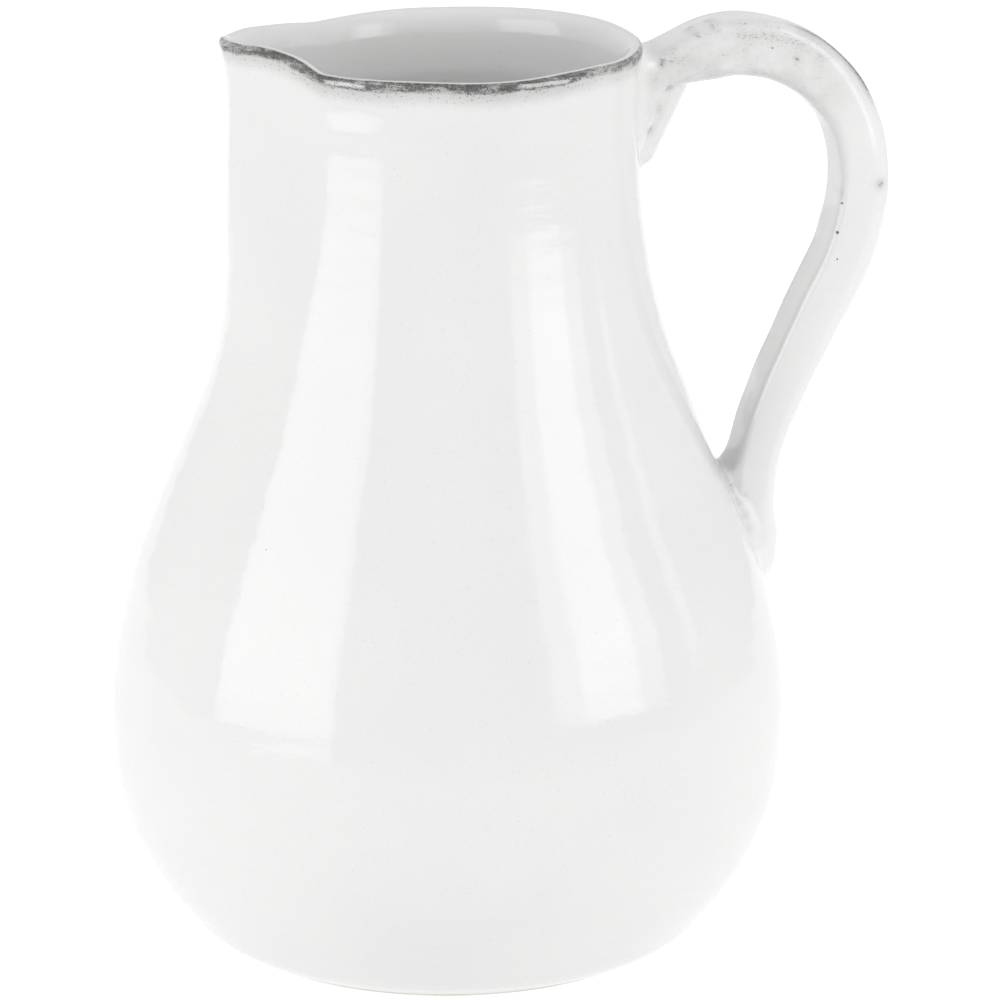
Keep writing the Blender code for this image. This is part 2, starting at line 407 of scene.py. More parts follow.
def foot_rows(edge, turn, count):
    """Grids of the flat foot, from the axis out to its edge; a wire-cut hollow in the middle."""
    share = np.linspace(0.004, 1, count + 1)[:-1, None]
    radius = edge * share
    hollow = 0.5 * MM * (1 - smooth(share, 0.62, 0.86))
    wire = np.sin(FULL_TURN * (radius * np.sin(turn) / 0.0041 + 2.2 * (share * np.cos(turn)) ** 2))
    cut = 0.05 * MM * (1 + wire) * (1 - smooth(share, 0.70, 0.88))
    return radius, hollow + cut


def body_grid():
    """All rows of the thrown wall as points, with each row's place on the wall."""
    turn = np.linspace(0, FULL_TURN, COLUMNS, endpoint=False)[None, :]
    heights = even_heights()
    outside = outside_rows(heights, turn)
    inside = inside_rows(turn)
    lip = lip_rows(outside[0][-1], inside[0][0], LIP_ROWS)
    floor = floor_rows(inside[0][-1], inside[1][-1], FLOOR_ROWS)
    foot = foot_rows(outside[0][0], turn, FOOT_ROWS)
    parts = [foot, outside, lip, inside, floor]
    points = []
    for radius, height in parts:
        grid = np.stack([radius * np.cos(turn), radius * np.sin(turn), height], axis=-1)
        points.append(pull_spout(grid))
    starts = np.cumsum([0] + [len(grid) for grid in points])
    return np.concatenate(points), starts


def grid_normals(points):
    """Outward unit normals of a grid whose columns close on themselves."""
    across = np.roll(points, -1, axis=1) - np.roll(points, 1, axis=1)
    along = np.gradient(points, axis=0)
    normals = np.cross(across, along)
    return normals / np.linalg.norm(normals, axis=2, keepdims=True)


def drop_from_crest(points):
    """Distance along the wall from the lip's crest: positive outside, negative inside."""
    crest = points[:, :, 2].mean(axis=1).argmax()
    steps = np.linalg.norm(np.diff(points, axis=0), axis=2)
    along = np.concatenate([np.zeros((1, points.shape[1])), np.cumsum(steps, axis=0)])
    return along[crest] - along


def rim_iron(points):
    """How strongly iron breaks through along the rim, by the angle round the body."""
    side = np.degrees(np.arctan2(points[..., 1], -points[..., 0]))
    return np.interp(side, IRON_LEVEL[:, 0], IRON_LEVEL[:, 1], period=360)


def painted_reflection_patch(points):
    """1 within the painted reflections in the iron band, 0 elsewhere."""
    side = np.degrees(np.arctan2(points[..., 1], -points[..., 0]))
    near = [(np.abs(side - middle), half) for middle, half in PAINTED_REFLECTION_PATCHES]
    return sum(1 - smooth(gap, half - 1, half + 1) for gap, half in near)


def add_mesh(name, points, faces, normals, numbers, material):
    """Make a smooth mesh object with its own normals and named numbers at its vertices."""
    mesh = bpy.data.meshes.new(name)
    mesh.from_pydata(points.tolist(), [], faces)
    mesh.shade_smooth()
    mesh.normals_split_custom_set_from_vertices(normals.tolist())
    for key, values in numbers.items():
        layer = mesh.attributes.new(key, "FLOAT", "POINT")
        layer.data.foreach_set("value", np.asarray(values, np.float32))
    mesh.materials.append(material)
    piece = bpy.data.objects.new(name, mesh)
    bpy.context.scene.collection.objects.link(piece)
    return piece


def grid_faces(rows, columns):
    """Quads between neighbouring rows, closed round the turn."""
    low = np.arange((rows - 1) * columns).reshape(rows - 1, columns)
    after = np.roll(low, -1, axis=1)
    quads = np.stack([low, after, after + columns, low + columns], axis=-1)
    return quads.reshape(-1, 4).tolist()


def grid_piece(name, points, normals, drop, first, last, material):
    """One band of the thrown wall, from row first to row last, both included."""
    rows = points[first : last + 1]
    faces = grid_faces(len(rows), COLUMNS)
    numbers = {
        "drop": drop[first : last + 1].ravel(),
        "iron": rim_iron(rows).ravel(),
        # clear marks the painted reflections in the iron band.
        "clear": painted_reflection_patch(rows).ravel(),
    }
    spots, row_normals = rows.reshape(-1, 3), normals[first : last + 1].reshape(-1, 3)
    if first == 0:
        faces.append(list(range(COLUMNS))[::-1])
    if last == len(points) - 1:
        start = (len(rows) - 1) * COLUMNS
        faces.append(list(range(start, start + COLUMNS)))
    return add_mesh(name, spots, faces, row_normals, numbers, material)


def wall_distance(points):
    """Signed distance to the thrown wall on the handle's side, below 0 in the clay."""
    height = points[..., 2]
    across = points[..., 0] - belly_sway(height)
    radius = np.hypot(across, points[..., 1])
    turn = np.arctan2(points[..., 1], across)
    side = np.arctan2(points[..., 1], -across)
    height = height - smooth(height, LIFT_START, RIM_HEIGHT) * rim_lift(side)
    low = np.clip(height, 0, SHOULDER)
    slope = outer_slope(low)
    relief = outside_relief(low, turn)
    side_gap = (radius - relief - outer_radius(low)) / np.hypot(1, slope)
    below = np.abs(side_gap + WALL / 2) - WALL / 2
    out = radius - relief - edge_line(height) + LIP_FRONT
    front = np.stack([out / LIP_FRONT, (height - SHOULDER) / LIP_FRONT_DROP], axis=-1)
    back = np.stack([out / LIP_BACK, (height - INNER_SHOULDER) / LIP_BACK_DROP], axis=-1)
    scaled = np.where((out > 0)[..., None], front, back)
    ahead, behind = (LIP_FRONT, LIP_FRONT_DROP), (LIP_BACK, LIP_BACK_DROP)
    sizes = np.where((out > 0)[..., None], ahead, behind)
    reach = np.linalg.norm(scaled, axis=-1)
    steep = np.linalg.norm(scaled / sizes, axis=-1)
    above = reach * (reach - 1) / np.maximum(steep, 1e-9)
    over = np.where(out > 0, height > SHOULDER, height > INNER_SHOULDER)
    return np.where(over, above, below)


def outside_gap(points):
    """Distance from the round outside, below 0 behind it, however thick the wall is."""
    height = np.clip(points[..., 2], 0, SHOULDER)
    radius = np.hypot(points[..., 0] - belly_sway(height), points[..., 1])
    return (radius - outer_radius(height)) / np.hypot(1, outer_slope(height))


def strap_line():
    """Closely spaced samples of the strap's centre line with its width and thickness."""
    table = HANDLE_STATIONS
    steps = np.hypot(np.diff(table[:, 0]), np.diff(table[:, 1]))
    along = np.concatenate([[0], np.cumsum(steps)])
    rows = hermite(along, table, np.linspace(0, along[-1], STRAP_SAMPLES))
    ahead = np.gradient(rows[:, :2], axis=0)
    ahead /= np.linalg.norm(ahead, axis=1)[:, None]
    pace = along[-1] / (STRAP_SAMPLES - 1)
    return rows, ahead, pace


STRAP_ROWS, STRAP_AHEAD, STRAP_PACE = strap_line()


def strap_place(x, z):
    """For points in the strap's plane: along the line, out from it, past its ends, its size."""
    flat = np.stack([x.ravel(), z.ravel()], axis=1)
    near = np.empty(len(flat), int)
    for first in range(0, len(flat), 20000):
        part = flat[first : first + 20000]
        gaps = (part[:, :1] - STRAP_ROWS[None, :, 0]) ** 2
        gaps += (part[:, 1:] - STRAP_ROWS[None, :, 1]) ** 2
        near[first : first + 20000] = gaps.argmin(axis=1)
    away = flat - STRAP_ROWS[near, :2]
    free = near + (away * STRAP_AHEAD[near]).sum(axis=1) / STRAP_PACE
    place = np.clip(free, 0, STRAP_SAMPLES - 1.001)
    base = place.astype(int)
    part = (place - base)[:, None]
    row = STRAP_ROWS[base] * (1 - part) + STRAP_ROWS[base + 1] * part
    ahead = STRAP_AHEAD[base] * (1 - part) + STRAP_AHEAD[base + 1] * part
    gap = flat - row[:, :2]
    out = -gap[:, 0] * ahead[:, 1] + gap[:, 1] * ahead[:, 0]
    past = np.maximum(-free, free - (STRAP_SAMPLES - 1)) * STRAP_PACE
    shape = x.shape
    fields = [place * STRAP_PACE, out, past, row[:, 2], row[:, 3]]
    return [field.reshape(shape) for field in fields]


def strap_distance(place, y):
    """Signed distance to the strap's rounded section."""
    along, out, past, width, thickness = place
    wobble = 0.10 * MM * np.sin(along / 0.0061 + 1.0) * np.sin(along / 0.0173)
    wobble = wobble + 0.05 * MM * np.sin(along / 0.0021 + 150 * y)
    tilt = 0.035 * np.sin(along / 0.021 + 0.5)
    out, y = out - tilt * y, y + tilt * out
    half_width, half_thick = width / 2, thickness / 2
    crown = FACE_CROWN * (np.clip(np.abs(y) / half_width, 0, 1) ** 2)
    half_thick = half_thick * (1 + 0.4 * FACE_CROWN - crown)
    belly = FACE_CROWN * (np.clip(np.abs(out) / half_thick, 0, 1) ** 2)
    half_width = half_width * (1 + 0.4 * FACE_CROWN - belly)
    near = smooth(-y, -2 * MM, 2 * MM)
    knots = NEAR_CORNERS[:, 0]
    outer_corner = np.interp(along, knots, NEAR_CORNERS[:, 1]) * near
    far_corner = ROOT_CORNER + (FAR_OUTER_CORNER - ROOT_CORNER) * smooth(along, 0.030, 0.062)
    outer_corner = outer_corner + far_corner * (1 - near)
    inner_corner = np.interp(along, knots, NEAR_CORNERS[:, 2]) * near
    inner_corner = inner_corner + FAR_INNER_CORNER * (1 - near)
    corner = inner_corner + (outer_corner - inner_corner) * smooth(out, -1.5 * MM, 1.5 * MM)
    corner = np.minimum(corner, 0.9 * half_thick)
    over_side = np.abs(y) - half_width + corner
    over_face = np.abs(out) - half_thick + corner
    outer = np.hypot(np.maximum(over_side, 0), np.maximum(over_face, 0))
    section = np.minimum(np.maximum(over_side, over_face), 0) + outer - corner - wobble
    inner = np.minimum(np.maximum(section, past), 0)
    return inner + np.hypot(np.maximum(section, 0), np.maximum(past, 0))


def cone_distance(points, top, foot, top_radius, foot_radius):
    """Signed distance to a cone with round ends."""
    axis = foot - top
    share = np.clip(((points - top) @ axis) / (axis @ axis), 0, 1)
    spot = top + share[..., None] * axis
    radius = top_radius + (foot_radius - top_radius) * share
    return np.linalg.norm(points - spot, axis=-1) - radius


def egg_distance(points, height, size):
    """Signed distance to an egg lying on the belly at a height on the handle's side."""
    centre = np.array([float(outer_radius(height)), 0.0, height])
    gap = points - centre
    lean_out = gap[..., 0] * math.cos(WAD_LEAN) + gap[..., 2] * math.sin(WAD_LEAN)
    lean_up = gap[..., 2] * math.cos(WAD_LEAN) - gap[..., 0] * math.sin(WAD_LEAN)
    local = np.stack([lean_out, gap[..., 1], lean_up], axis=-1)
    scaled = np.linalg.norm(local / np.array(size), axis=-1)
    steep = np.linalg.norm(local / np.array(size) ** 2, axis=-1)
    return scaled * (scaled - 1) / np.maximum(steep, 1e-9)


def blend(a, b, reach):
    """Union of two solids, filled smoothly where both are nearer than reach."""
    share = np.maximum(reach - np.abs(a - b), 0) / reach
    return np.minimum(a, b) - share * share * reach / 4


def clay_parts(points, place=None):
    """Signed distances to the strap, the coil and the wad."""
    if place is None:
        place = strap_place(points[..., 0], points[..., 2])
    strap = strap_distance(place, points[..., 1])
    coil = cone_distance(points, COIL_TOP, COIL_FOOT, COIL_TOP_RADIUS, COIL_FOOT_RADIUS)
    return strap, coil, egg_distance(points, WAD_HEIGHT, WAD_SIZE)


def handle_field(points, place=None):
    """Below 0 in the handle and its clay, smoothed into the outside of the slightly sunk wall."""
    strap, coil, wad = clay_parts(points, place)
    clay = blend(blend(strap, coil, COIL_REACH), wad, WAD_REACH)
    height = points[..., 2]
    lower = LOWER_REACH + NEAR_SMEAR * smooth(-points[..., 1], SMEAR_START, SMEAR_FULL)
    lower = lower + (CROTCH_REACH - lower) * smooth(height, *CROTCH_ZONE)
    reach = lower + (UPPER_REACH - lower) * smooth(height, *NECK_ZONE)
    gap = outside_gap(points)
    reach = reach * smooth(gap, -BLEND_DEPTH, -CLAY_DEPTH / 2) + SINK
    return blend(np.maximum(clay, -gap - CLAY_DEPTH), wall_distance(points) + SINK, reach)


def slope_of(field, points):
    """Gradient of a field at points."""
    step = 0.04 * MM
    parts = []
    for axis in range(3):
        shift = np.zeros(3)
        shift[axis] = step
        parts.append((field(points + shift) - field(points - shift)) / (2 * step))
    return np.stack(parts, axis=-1)


def net_values():
    """The handle's field at every node of a box grid."""
    counts = np.ceil((NET_HIGH - NET_LOW) / NET_STEP).astype(int) + 1
    xs, ys, zs = [NET_LOW[i] + NET_STEP * np.arange(counts[i]) for i in range(3)]
    flat_x, flat_z = np.meshgrid(xs, zs, indexing="ij")
    place = strap_place(flat_x, flat_z)
    values = np.empty(counts)
    for row, y in enumerate(ys):
        points = np.stack([flat_x, np.full_like(flat_x, y), flat_z], axis=-1)
        values[:, row, :] = handle_field(points, place)
    return values


def surface_net(values):
    """Quads where the field changes sign: one vertex in each cell that it crosses."""
    cells = np.array(values.shape) - 1
    total = np.zeros((cells.prod(), 3))
    hits = np.zeros(cells.prod())
    quads = []
    for axis in range(3):
        first = np.take(values, range(cells[axis]), axis=axis)
        second = np.take(values, range(1, cells[axis] + 1), axis=axis)
        crossing = (first < 0) != (second < 0)
        nodes = np.argwhere(crossing)
        start, end = first[crossing], second[crossing]
        b, c = (axis + 1) % 3, (axis + 2) % 3
        room = (nodes[:, b] > 0) & (nodes[:, b] < cells[b])
        room &= (nodes[:, c] > 0) & (nodes[:, c] < cells[c])
        nodes, start, end = nodes[room], start[room], end[room]
        spots = nodes.astype(float)
        spots[:, axis] += start / (start - end)
        corners = []
        for step_b, step_c in ((-1, -1), (0, -1), (0, 0), (-1, 0)):
            cell = nodes.copy()
            cell[:, b] += step_b
            cell[:, c] += step_c
            index = np.ravel_multi_index(cell.T, cells)
            np.add.at(total, index, spots)
            np.add.at(hits, index, 1)
            corners.append(index)
        ring = np.stack(corners, axis=1)
        ring[start > 0] = ring[start > 0][:, ::-1]
        quads.append(ring)
    quads = np.concatenate(quads)
    used, faces = np.unique(quads, return_inverse=True)
    points = NET_LOW + NET_STEP * total[used] / hits[used][:, None]
    return points, faces.reshape(quads.shape)


def even_out(points, faces):
    """Move every vertex halfway to the middle of its neighbours."""
    total = np.zeros_like(points)
    count = np.zeros(len(points))
    for step in range(4):
        one, two = faces[:, step], faces[:, (step + 1) % 4]
        np.add.at(total, one, points[two])
        np.add.at(total, two, points[one])
        np.add.at(count, one, 1)
        np.add.at(count, two, 1)
    return (points + total / count[:, None]) / 2


def settle(points):
    """Move points onto the handle's surface."""
    for _ in range(2):
        value = handle_field(points)
        slope = slope_of(handle_field, points)
        points = points - (value / (slope**2).sum(axis=1))[:, None] * slope
    return points


def keep_faces(points, faces, wanted):
    """Only the wanted faces and the vertices they use; also each kept vertex's old index."""
    used, renumbered = np.unique(faces[wanted], return_inverse=True)
    return points[used], renumbered.reshape(-1, faces.shape[1]), used


def handle_surface():
    """The handle with its clay as one surface that dips under the wall all round its joints.

    Close to the wall it takes the wall's normals, so that the edge doesn't show.
    """
    points, faces = surface_net(net_values())
    proud = wall_distance(points) + SINK > 0.4 * SINK
    points, faces, _ = keep_faces(points, faces, proud[faces].any(axis=1))
    for _ in range(2):
        points = settle(even_out(points, faces))
    proud = wall_distance(points) + SINK > 0.15 * SINK
    proud &= outside_gap(points) > -BLEND_DEPTH
    points, faces, _ = keep_faces(points, faces, proud[faces].any(axis=1))
    normals = slope_of(handle_field, points)
    normals /= np.linalg.norm(normals, axis=1)[:, None]
    wall = slope_of(wall_distance, points)
    wall /= np.linalg.norm(wall, axis=1)[:, None]
    merge = 1 - smooth(wall_distance(points), 0.0, MERGE)[:, None]
    normals = normals * (1 - merge) + wall * merge
    return points, faces, normals / np.linalg.norm(normals, axis=1)[:, None]


# ---------------------------------------------------------------- glaze


class Nodes:
    """Short calls for building the shader tree of a material or a world."""

    def __init__(self, owner):
        owner.use_nodes = True
        self.tree = owner.node_tree
        self.tree.nodes.clear()

    def add(self, kind, inputs=None, **settings):
        node = self.tree.nodes.new(kind)
        for key, value in settings.items():
            setattr(node, key, value)
        for key, value in (inputs or {}).items():
            self.put(node.inputs[key], value)
        return node

    def put(self, socket, value):
        if isinstance(value, bpy.types.NodeSocket):
            self.tree.links.new(value, socket)
        else:
            socket.default_value = value

    def math(self, operation, a, b=0.0, c=0.0, clamp=False):
        node = self.add("ShaderNodeMath", operation=operation, use_clamp=clamp)
        for socket, value in zip(node.inputs, (a, b, c)):
            self.put(socket, value)
        return node.outputs[0]

    def ramp(self, value, low, high, start=0.0, end=1.0):
        inputs = {"Value": value, "From Min": low, "From Max": high}
        inputs.update({"To Min": start, "To Max": end})
        node = self.add("ShaderNodeMapRange", inputs, interpolation_type="SMOOTHSTEP", clamp=True)
        return node.outputs[0]

    def mix(self, share, a, b):
        node = self.add("ShaderNodeMix", data_type="RGBA")
        self.put(node.inputs["Factor"], share)
        self.put(node.inputs["A"], a)
        self.put(node.inputs["B"], b)
        return node.outputs["Result"]

    def noise(self, where, scale, detail=2.0, rough=0.5):
        inputs = {"Vector": where, "Scale": scale, "Detail": detail, "Roughness": rough}
        return self.add("ShaderNodeTexNoise", inputs).outputs["Fac"]

    def spots(self, where, scale, size, chance):
        """Round dots in a share of the cells; 1 in a dot."""
        inputs = {"Vector": where, "Scale": scale, "Randomness": 1.0}
        cells = self.add("ShaderNodeTexVoronoi", inputs, feature="F1")
        near = self.ramp(cells.outputs["Distance"], size * 0.55, size, 1.0, 0.0)
        pick = self.add("ShaderNodeSeparateColor", {"Color": cells.outputs["Color"]})
        chosen = self.math("LESS_THAN", pick.outputs[0], chance)
        return self.math("MULTIPLY", near, chosen)

    def stretch(self, where, x, y, z):
        inputs = {"Vector": where, "Scale": (x, y, z)}
        return self.add("ShaderNodeMapping", inputs).outputs[0]

    def number(self, name):
        return self.add("ShaderNodeAttribute", attribute_name=name).outputs["Fac"]

    def place(self, kind="Object"):
        return self.add("ShaderNodeTexCoord").outputs[kind]

    def show(self, shader, kind="ShaderNodeOutputMaterial"):
        self.add(kind, {"Surface": shader.outputs[0]})


WHITE = (0.694, 0.694, 0.692, 1)
WARM_WHITE = (0.706, 0.706, 0.702, 1)
# Grey of thin glaze, also the colour of the painted shade on the handle.
THIN_GLAZE_AND_SHADE_GREY = (0.46, 0.46, 0.455, 1)
IRON = (0.050, 0.048, 0.046, 1)
IRON_VEIL = (0.20, 0.198, 0.194, 1)
# Pale white: the handle's lighter glaze, and the colour of the painted highlights and painted
# reflections.
PALE_GLAZE_AND_HIGHLIGHT = (0.86, 0.86, 0.855, 1)
CREST = (0.60, 0.595, 0.585, 1)
HANDLE_WHITENESS = 0.14
CLAY_LIGHT = (0.68, 0.645, 0.59, 1)
CLAY_DARK = (0.60, 0.56, 0.50, 1)
CLAY_GRIT = (0.28, 0.22, 0.17, 1)

GLAZE_IOR = 1.5
GLOSS_LOW = 0.055
GLOSS_HIGH = 0.10
IRON_MATTE = 0.20
PEEL_DEPTH = 0.030 * MM


def glaze_shader(nodes, where, colour, extra_height, extra_rough=0.0):
    """Gloss glaze: slightly uneven, with a fine orange-peel surface."""
    peel = nodes.noise(nodes.stretch(where, 0.8, 0.8, 2.0), 380, 2.0, 0.5)
    swell = nodes.noise(nodes.stretch(where, 0.8, 0.8, 3.0), 80, 2.0, 0.5)
    height = nodes.math("ADD", nodes.math("MULTIPLY_ADD", swell, 3.0, peel), extra_height)
    inputs = {"Height": height, "Distance": PEEL_DEPTH, "Strength": 1.0}
    bump = nodes.add("ShaderNodeBump", inputs).outputs[0]
    patch = nodes.noise(where, 35, 2.0)
    rough = nodes.math("ADD", nodes.ramp(patch, 0.3, 0.7, GLOSS_LOW, GLOSS_HIGH), extra_rough)
    inputs = {"Base Color": colour, "Roughness": rough, "IOR": GLAZE_IOR, "Normal": bump}
    nodes.show(nodes.add("ShaderNodeBsdfPrincipled", inputs))


def mottled_white(nodes, where):
    """Opaque white with faint clouds, and pinholes where iron shows."""
    cloud = nodes.noise(where, 26, 3.0)
    colour = nodes.mix(nodes.ramp(cloud, 0.35, 0.65), WHITE, WARM_WHITE)
    grain = nodes.noise(where, 1500, 1.0)
    colour = nodes.mix(nodes.ramp(grain, 0.58, 0.80, 0.0, 0.15), colour, THIN_GLAZE_AND_SHADE_GREY)
    faint = nodes.spots(where, 520, 0.12, 0.30)
    colour = nodes.mix(nodes.math("MULTIPLY", faint, 0.45), colour, THIN_GLAZE_AND_SHADE_GREY)
    dark = nodes.spots(where, 130, 0.036, 0.09)
    return nodes.mix(nodes.math("MULTIPLY", dark, 0.75), colour, IRON)


def ragged(nodes, where, amount):
    """1 where iron breaks through glaze that is thin by the given amount, 0 elsewhere."""
    fine = nodes.noise(where, 4600, 2.0, 0.6)
    coarse = nodes.noise(nodes.stretch(where, 1, 1, 2.2), 800, 2.0, 0.6)
    texture = nodes.math("MULTIPLY_ADD", coarse, 0.35, nodes.math("MULTIPLY", fine, 0.65))
    need = nodes.math("SUBTRACT", 1.0, amount)
    low = nodes.math("MULTIPLY_ADD", need, 0.30, 0.40)
    over = nodes.math("SUBTRACT", texture, low)
    return nodes.math("MULTIPLY", over, 9.0, clamp=True)


def body_glaze():
    """Glaze of the thrown body: iron breaks through just below the lip's crest.

    The attribute drop is the distance along the wall from the crest, iron the band's strength
    round the rim, and clear the two painted reflections that lighten the band and half hide its
    iron.
    """
    material = bpy.data.materials.new("body_glaze_white")
    nodes = Nodes(material)
    where = nodes.place()
    colour = mottled_white(nodes, where)
    drop = nodes.number("drop")
    wander = nodes.noise(nodes.stretch(where, 1, 1, 0.4), 75, 3.0, 0.6)
    reach = nodes.math("ADD", drop, nodes.math("MULTIPLY_ADD", wander, 0.0026, -0.0013))
    starts = nodes.ramp(drop, 0.25 * MM, 0.95 * MM)
    ends = nodes.ramp(reach, 2.4 * MM, 5.0 * MM, 1.0, 0.0)
    haze = nodes.ramp(reach, 3.6 * MM, 8.5 * MM, 0.42, 0.0)
    level = nodes.number("iron")
    streak = nodes.noise(nodes.stretch(where, 1, 1, 5.0), 130, 3.0, 0.6)
    uneven = nodes.ramp(streak, 0.32, 0.60, 0.70, 1.0)
    core = nodes.math("MULTIPLY", nodes.math("MULTIPLY", starts, ends), uneven)
    core = nodes.math("MULTIPLY", core, level)
    haze = nodes.math("MULTIPLY", nodes.math("MULTIPLY", haze, starts), level)
    thin = nodes.math("MAXIMUM", core, haze)
    # Painted reflection: within the clear patches the band is lighter, half its iron is hidden and
    # the colour moves toward pale white.
    clear = nodes.ramp(reach, 1.7 * MM, 2.1 * MM)
    clear = nodes.math("MULTIPLY", clear, nodes.ramp(reach, 2.6 * MM, 3.1 * MM, 1.0, 0.0))
    clear = nodes.math("MULTIPLY", clear, nodes.number("clear"))
    thin = nodes.math("MULTIPLY", thin, nodes.math("MULTIPLY_ADD", clear, -0.50, 1.0))
    crest = nodes.math("MULTIPLY", nodes.ramp(drop, -1.6 * MM, -0.3 * MM), 0.5)
    crest = nodes.math("MULTIPLY", crest, nodes.ramp(drop, 0.5 * MM, 1.1 * MM, 1.0, 0.0))
    colour = nodes.mix(crest, colour, CREST)
    colour = nodes.mix(nodes.math("MULTIPLY", clear, 0.15), colour, PALE_GLAZE_AND_HIGHLIGHT)
    veil = nodes.math("MULTIPLY", nodes.math("POWER", thin, 1.3), 0.95, clamp=True)
    colour = nodes.mix(veil, colour, IRON_VEIL)
    drops = nodes.spots(where, 1050, 0.26, 0.40)
    drops = nodes.math("MULTIPLY", drops, nodes.math("MULTIPLY", thin, 1.6), clamp=True)
    iron = nodes.math("MAXIMUM", ragged(nodes, where, thin), drops)
    colour = nodes.mix(nodes.math("MULTIPLY", iron, 0.90), colour, IRON)
    matte = nodes.math("MULTIPLY", nodes.math("MAXIMUM", thin, clear), IRON_MATTE)
    glaze_shader(nodes, where, colour, nodes.math("MULTIPLY", iron, -0.8), matte)
    return material


def dark_dots(nodes, where):
    """1 in each burst bubble of the strap's near face."""
    split = nodes.add("ShaderNodeSeparateXYZ", {"Vector": where})
    flat = nodes.add("ShaderNodeCombineXYZ", {"X": split.outputs[0], "Z": split.outputs[2]})
    near_side = nodes.math("LESS_THAN", split.outputs[1], -0.004)
    dots = 0.0
    for x, z, radius in DARK_DOTS:
        ends = {0: flat.outputs[0], 1: (x, 0, z)}
        gap = nodes.add("ShaderNodeVectorMath", ends, operation="DISTANCE")
        dot = nodes.ramp(gap.outputs["Value"], radius * 0.7, radius * 1.15, 1.0, 0.0)
        dots = nodes.math("MAXIMUM", dot, dots)
    return nodes.math("MULTIPLY", dots, near_side)


def handle_glaze(name):
    """Glaze of the handle and its clay: thin along ridges, with painted shade in the joints'
    creases, a painted highlight on the strap's inner corner and painted light on its inner face.

    It is a little whiter than the body's. Where the attribute bare is 1, iron shows.
    """
    material = bpy.data.materials.new(name)
    nodes = Nodes(material)
    where = nodes.place()
    colour = nodes.mix(HANDLE_WHITENESS, mottled_white(nodes, where), PALE_GLAZE_AND_HIGHLIGHT)
    # thin carries thin glaze and the painted shade at the joints; both grey the colour.
    thin = nodes.number("thin")
    wander = nodes.noise(where, 160, 3.0, 0.6)
    amount = nodes.math("MULTIPLY", thin, nodes.ramp(wander, 0.25, 0.65, 0.35, 1.0))
    colour = nodes.mix(nodes.math("MULTIPLY", amount, 0.90), colour, THIN_GLAZE_AND_SHADE_GREY)
    iron = ragged(nodes, where, nodes.math("MULTIPLY", amount, 0.95))
    # Painted highlight and painted light on the strap, in pale white.
    colour = nodes.mix(nodes.ramp(nodes.number("painted_light"), 0.25, 0.8), colour, PALE_GLAZE_AND_HIGHLIGHT)
    iron = nodes.math("MAXIMUM", iron, dark_dots(nodes, where))
    bare = nodes.number("bare")
    colour = nodes.mix(nodes.math("MULTIPLY", bare, 0.90), colour, IRON_VEIL)
    iron = nodes.math("MAXIMUM", iron, ragged(nodes, where, bare))
    colour = nodes.mix(nodes.math("MULTIPLY", iron, 0.88), colour, IRON)
    glaze_shader(nodes, where, colour, nodes.math("MULTIPLY", iron, -0.8))
    return material


def bare_clay():
    """Unglazed stoneware of the foot."""
    material = bpy.data.materials.new("bare_stoneware")
    nodes = Nodes(material)
    where = nodes.place()
    cloud = nodes.noise(where, 60, 3.0)
    colour = nodes.mix(nodes.ramp(cloud, 0.3, 0.7), CLAY_DARK, CLAY_LIGHT)
    grit = nodes.spots(where, 700, 0.3, 0.18)
    colour = nodes.mix(nodes.math("MULTIPLY", grit, 0.55), colour, CLAY_GRIT)
    grain = nodes.noise(where, 1400, 3.0, 0.6)
    bump = nodes.add("ShaderNodeBump", {"Height": grain, "Distance": 0.06 * MM, "Strength": 1.0})
    inputs = {"Base Color": colour, "Roughness": 0.75, "Normal": bump.outputs[0]}
    nodes.show(nodes.add("ShaderNodeBsdfPrincipled", inputs))
    return material


# ---------------------------------------------------------------- pieces


# Rows of the wall that go to the bare foot, and to the lip's band below and inside the lip.
BARE_ROWS = 7
ROWS_BELOW_LIP = 22
ROWS_INSIDE_LIP = 6


def make_body():
    """The thrown wall as four bands that share their border rows."""
    points, starts = body_grid()
    normals = grid_normals(points)
    drop = drop_from_crest(points)
    foot_end = starts[1] + BARE_ROWS
    lip_start = starts[2] - ROWS_BELOW_LIP
    lip_end = starts[3] + ROWS_INSIDE_LIP
    glaze = body_glaze()
    bands = [
        ("body_bare_foot", 0, foot_end, bare_clay()),
        ("body_outside", foot_end, lip_start, glaze),
        ("body_lip", lip_start, lip_end, glaze),
        ("body_inside", lip_end, len(points) - 1, glaze),
    ]
    for name, first, last, material in bands:
        piece = grid_piece(name, points, normals, drop, first, last, material)
        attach(piece, "root")
        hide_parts("thrown_body")


